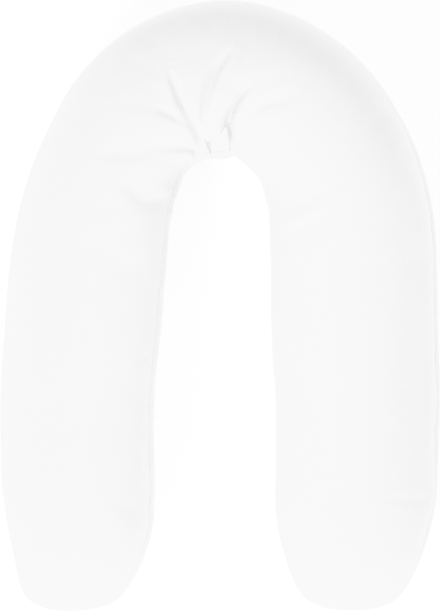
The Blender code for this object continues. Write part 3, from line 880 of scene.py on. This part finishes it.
# White cotton in a plain weave. The threads run along and across the pillow: their places come from the
# cover's own lengths and girths, in metres. Each crossing is a small bump, and the slubs, the thick places
# in the threads, stand a little higher. The tone turns their strength into the share of lighter cotton.
THREAD_PITCH = 0.00055
CROSSING_POWER = 0.6
SLUB_LENGTH = 0.020
SLUB_WIDTH = 0.0011
SLUB_HEIGHT = 0.5
SLUB_TONE = (0.7, -0.1)
WEAVE_BUMP = 0.00010
WEAVE_STRENGTH = 0.55
COTTON_LIGHT = (0.84, 0.84, 0.838, 1.0)
COTTON_DARK = (0.81, 0.81, 0.808, 1.0)
COTTON_ROUGHNESS = 0.88
COTTON_SPECULAR = 0.25
COTTON_SHEEN = 0.12
COTTON_SHEEN_ROUGHNESS = 0.5


def math_node(nodes, links, operation, *values):
    """A math node fed by sockets or plain numbers; returns its output."""
    node = nodes.new("ShaderNodeMath")
    node.operation = operation
    for socket, value in zip(node.inputs, values):
        if isinstance(value, bpy.types.NodeSocket):
            links.new(value, socket)
        else:
            socket.default_value = value
    return node.outputs["Value"]


def woven_cotton(name):
    material = bpy.data.materials.new(name)
    material.use_nodes = True
    nodes, links = material.node_tree.nodes, material.node_tree.links
    shader = nodes["Principled BSDF"]
    threads_map = nodes.new("ShaderNodeUVMap")
    threads_map.uv_map = "threads"
    parted = nodes.new("ShaderNodeSeparateXYZ")
    links.new(threads_map.outputs["UV"], parted.inputs["Vector"])
    across = math_node(nodes, links, "MULTIPLY", parted.outputs["X"], math.pi / THREAD_PITCH)
    along = math_node(nodes, links, "MULTIPLY", parted.outputs["Y"], math.pi / THREAD_PITCH)
    waves = [math_node(nodes, links, "SINE", value) for value in (across, along)]
    woven = math_node(nodes, links, "MULTIPLY", *waves)
    raised = math_node(nodes, links, "ABSOLUTE", woven)
    crossing = math_node(nodes, links, "POWER", raised, CROSSING_POWER)

    slubs = []
    for stretch in ((SLUB_WIDTH, SLUB_LENGTH), (SLUB_LENGTH, SLUB_WIDTH)):
        scaled = nodes.new("ShaderNodeVectorMath")
        scaled.operation = "DIVIDE"
        links.new(threads_map.outputs["UV"], scaled.inputs[0])
        scaled.inputs[1].default_value = (*stretch, 1.0)
        patch = nodes.new("ShaderNodeTexNoise")
        patch.inputs["Scale"].default_value = 1.0
        patch.inputs["Detail"].default_value = 1.0
        links.new(scaled.outputs["Vector"], patch.inputs["Vector"])
        slubs.append(patch.outputs["Fac"])
    slub = math_node(nodes, links, "ADD", *slubs)
    height = math_node(nodes, links, "MULTIPLY_ADD", slub, SLUB_HEIGHT, crossing)
    bump = nodes.new("ShaderNodeBump")
    bump.inputs["Strength"].default_value = WEAVE_STRENGTH
    bump.inputs["Distance"].default_value = WEAVE_BUMP
    links.new(height, bump.inputs["Height"])
    links.new(bump.outputs["Normal"], shader.inputs["Normal"])

    colour = nodes.new("ShaderNodeMix")
    colour.data_type = "RGBA"
    colour.inputs["A"].default_value = COTTON_DARK
    colour.inputs["B"].default_value = COTTON_LIGHT
    share = math_node(nodes, links, "MULTIPLY_ADD", slub, *SLUB_TONE)
    links.new(math_node(nodes, links, "MINIMUM", share, 1.0), colour.inputs["Factor"])
    links.new(colour.outputs["Result"], shader.inputs["Base Color"])
    shader.inputs["Roughness"].default_value = COTTON_ROUGHNESS
    shader.inputs["Sheen Weight"].default_value = COTTON_SHEEN
    shader.inputs["Sheen Roughness"].default_value = COTTON_SHEEN_ROUGHNESS
    shader.inputs["Specular IOR Level"].default_value = COTTON_SPECULAR
    return material


cover_mesh.materials.append(woven_cotton("white_cotton"))

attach(cover, "root")
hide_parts("pillow")

# ---------------------------------------------------------------------------------------------------------
# The seam's stitches. White polyester thread, sewn by machine from inside, so that only the short bars
# that hold the two panels together show in the bottom of the seam, and show more where it is pulled.
# ---------------------------------------------------------------------------------------------------------

STITCH_PITCH = 0.0032
STITCH_HALF = (0.00034, 0.00115, 0.00030)
STITCH_LIFT = 0.00045
STITCH_SLANT = 14.0
STITCH_LEAST_SLANT = 0.3
STITCH_SEGMENTS = 8
STITCH_RINGS = 6
STITCH_SEED = 11
THREAD_WHITE = (0.82, 0.82, 0.818, 1.0)
THREAD_ROUGHNESS = 0.55


def sewing_line():
    """The seam's line in the bottom of its groove, with the way outwards kept at each point."""
    points = read_points(cover_mesh)
    places, ways = along_seam(points, points), along_seam(points, read_normals(cover_mesh))
    ways /= np.linalg.norm(ways, axis=1, keepdims=True)
    edges = [(k, (k + 1) % len(places)) for k in range(len(places))]
    mesh = bpy.data.meshes.new("sewing_line")
    mesh.from_pydata((places + ways * STITCH_LIFT).tolist(), edges, [])
    kept = mesh.attributes.new("outward", "FLOAT_VECTOR", "POINT")
    kept.data.foreach_set("vector", ways.astype(np.float32).ravel())
    return mesh


def stitch_nodes(material):
    """Puts a stitch on the line at every pitch, turned across it and a little uneven."""
    group = bpy.data.node_groups.new("stitches", "GeometryNodeTree")
    kinds = {"Line": "Geometry", "Pitch": "Float", "Size": "Vector", "Slant": "Float", "Seed": "Int"}
    identifiers = {}
    for name, kind in kinds.items():
        kind = "NodeSocket" + kind
        socket = group.interface.new_socket(name=name, in_out="INPUT", socket_type=kind)
        identifiers[name] = socket.identifier
    group.interface.new_socket(name="Stitches", in_out="OUTPUT", socket_type="NodeSocketGeometry")
    nodes, links = group.nodes, group.links
    given = nodes.new("NodeGroupInput")
    curve = nodes.new("GeometryNodeMeshToCurve")
    links.new(given.outputs["Line"], curve.inputs["Mesh"])
    paced = nodes.new("GeometryNodeResampleCurve")
    paced.mode = "LENGTH"
    links.new(curve.outputs["Curve"], paced.inputs["Curve"])
    links.new(given.outputs["Pitch"], paced.inputs["Length"])
    tangent = nodes.new("GeometryNodeInputTangent")
    outward = nodes.new("GeometryNodeInputNamedAttribute")
    outward.data_type = "FLOAT_VECTOR"
    outward.inputs["Name"].default_value = "outward"
    along = nodes.new("FunctionNodeAlignRotationToVector")
    along.axis = "X"
    links.new(tangent.outputs["Tangent"], along.inputs["Vector"])
    facing = nodes.new("FunctionNodeAlignRotationToVector")
    facing.axis = "Z"
    facing.pivot_axis = "X"
    links.new(along.outputs["Rotation"], facing.inputs["Rotation"])
    links.new(outward.outputs["Attribute"], facing.inputs["Vector"])
    slant = nodes.new("FunctionNodeRandomValue")
    slant.data_type = "FLOAT"
    least = math_node(nodes, links, "MULTIPLY", given.outputs["Slant"], STITCH_LEAST_SLANT)
    links.new(least, slant.inputs["Min"])
    links.new(given.outputs["Slant"], slant.inputs["Max"])
    links.new(given.outputs["Seed"], slant.inputs["Seed"])
    turn = nodes.new("ShaderNodeCombineXYZ")
    links.new(slant.outputs["Value"], turn.inputs["Z"])
    turned = nodes.new("FunctionNodeRotateRotation")
    turned.rotation_space = "LOCAL"
    links.new(facing.outputs["Rotation"], turned.inputs["Rotation"])
    links.new(turn.outputs["Vector"], turned.inputs["Rotate By"])
    grain = nodes.new("GeometryNodeMeshUVSphere")
    grain.inputs["Segments"].default_value = STITCH_SEGMENTS
    grain.inputs["Rings"].default_value = STITCH_RINGS
    grain.inputs["Radius"].default_value = 1.0
    placed = nodes.new("GeometryNodeInstanceOnPoints")
    links.new(paced.outputs["Curve"], placed.inputs["Points"])
    links.new(grain.outputs["Mesh"], placed.inputs["Instance"])
    links.new(turned.outputs["Rotation"], placed.inputs["Rotation"])
    links.new(given.outputs["Size"], placed.inputs["Scale"])
    real = nodes.new("GeometryNodeRealizeInstances")
    links.new(placed.outputs["Instances"], real.inputs["Geometry"])
    painted = nodes.new("GeometryNodeSetMaterial")
    painted.inputs["Material"].default_value = material
    links.new(real.outputs["Geometry"], painted.inputs["Geometry"])
    result = nodes.new("NodeGroupOutput")
    links.new(painted.outputs["Geometry"], result.inputs["Stitches"])
    return group, identifiers


thread = bpy.data.materials.new("white_thread")
thread.use_nodes = True
thread_shader = thread.node_tree.nodes["Principled BSDF"]
thread_shader.inputs["Base Color"].default_value = THREAD_WHITE
thread_shader.inputs["Roughness"].default_value = THREAD_ROUGHNESS

line_object = bpy.data.objects.new("sewing_line", sewing_line())
scene.collection.objects.link(line_object)
group, identifiers = stitch_nodes(thread)
sewing = line_object.modifiers.new("stitches", "NODES")
sewing.node_group = group
sewing[identifiers["Pitch"]] = STITCH_PITCH
sewing[identifiers["Size"]] = STITCH_HALF
sewing[identifiers["Slant"]] = math.radians(STITCH_SLANT)
sewing[identifiers["Seed"]] = STITCH_SEED
sewn = line_object.evaluated_get(bpy.context.evaluated_depsgraph_get())
stitch_mesh = bpy.data.meshes.new_from_object(sewn)
bpy.data.objects.remove(line_object)
stitch_mesh.shade_smooth()
stitches = bpy.data.objects.new("stitches", stitch_mesh)
scene.collection.objects.link(stitches)

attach(stitches, "root")

# ---------------------------------------------------------------------------------------------------------
# The stage: a plain pale floor, soft light from everywhere, a low soft lamp from the lower left with a
# weak one from the lower right, a weak panel over the gap, and the camera straight above.
# ---------------------------------------------------------------------------------------------------------

FLOOR_SIDE = 40.0
FLOOR_Z = -0.0004
FLOOR_WHITE = (0.95, 0.95, 0.95, 1.0)
FLOOR_ROUGHNESS = 0.9
FLOOR_GLOW = 0.36
SOFT_WHITE = (1.0, 1.0, 1.0, 1.0)
bpy.ops.mesh.primitive_plane_add(size=FLOOR_SIDE, location=(0.0, 0.0, FLOOR_Z))
floor = bpy.context.object
floor.name = "floor"
paint = bpy.data.materials.new("floor_paint")
paint.use_nodes = True
paint_shader = paint.node_tree.nodes["Principled BSDF"]
paint_shader.inputs["Base Color"].default_value = FLOOR_WHITE
paint_shader.inputs["Roughness"].default_value = FLOOR_ROUGHNESS
paint_shader.inputs["Emission Color"].default_value = SOFT_WHITE
paint_shader.inputs["Emission Strength"].default_value = FLOOR_GLOW
floor.data.materials.append(paint)

SKY_STRENGTH = 0.96
world = bpy.data.worlds.new("studio")
scene.world = world
world.use_nodes = True
sky = world.node_tree.nodes["Background"]
sky.inputs["Color"].default_value = SOFT_WHITE
sky.inputs["Strength"].default_value = SKY_STRENGTH

# The lamps: how strong each is, how wide it looks in degrees, and the way towards it.
Lamp = namedtuple("Lamp", "name energy angle direction")
LAMPS = (
    Lamp("main_lamp", 0.82, 14.0, (-0.90, -1.60, 1.20)),
    Lamp("fill_lamp", 0.13, 30.0, (1.00, -1.20, 0.90)),
)
for lamp in LAMPS:
    light = bpy.data.lights.new(lamp.name, "SUN")
    light.energy = lamp.energy
    light.angle = math.radians(lamp.angle)
    lamp_object = bpy.data.objects.new(lamp.name, light)
    lamp_object.rotation_mode = "QUATERNION"
    lamp_object.rotation_quaternion = Vector(lamp.direction).to_track_quat("Z", "Y")
    scene.collection.objects.link(lamp_object)

# The panel over the gap lightens the arms' inner sides, and the camera looks through it.
PANEL_SIZE = (0.10, 0.60)
PANEL_PLACE = (0.0, -0.12, 0.50)
PANEL_ENERGY = 0.22
panel = bpy.data.lights.new("gap_panel", "AREA")
panel.shape = "RECTANGLE"
panel.size, panel.size_y = PANEL_SIZE
panel.energy = PANEL_ENERGY
panel_object = bpy.data.objects.new("gap_panel", panel)
panel_object.location = PANEL_PLACE
panel_object.visible_camera = False
scene.collection.objects.link(panel_object)

# The camera sees this much of the pillow, top to bottom, at the height of its widest line.
CAMERA_LENS = 120.0
SENSOR = 36.0
VIEW_HEIGHT = 0.9593
WIDEST_Z = 0.09
camera = bpy.data.cameras.new("camera")
camera.lens = CAMERA_LENS
camera.sensor_width = SENSOR
camera_object = bpy.data.objects.new("camera", camera)
camera_object.location = (0.0, ORIGIN_Y, WIDEST_Z + VIEW_HEIGHT * CAMERA_LENS / SENSOR)
scene.collection.objects.link(camera_object)
scene.camera = camera_object
scene.view_settings.view_transform = "Standard"

# The highlights roll off, as they do in a studio picture of a white thing.
TonePoint = namedtuple("TonePoint", "light shown")
TONES = (
    TonePoint(0.50, 0.50),
    TonePoint(0.80, 0.80),
    TonePoint(0.95, 0.925),
    TonePoint(1.15, 0.953),
    TonePoint(1.40, 1.0),
)
TONE_REACH = 2.0
scene.view_settings.use_curve_mapping = True
mapping = scene.view_settings.curve_mapping
mapping.white_level = (TONE_REACH, TONE_REACH, TONE_REACH)
brightness = mapping.curves[3]
for tone in TONES:
    brightness.points.new(tone.light / TONE_REACH, tone.shown)
mapping.update()
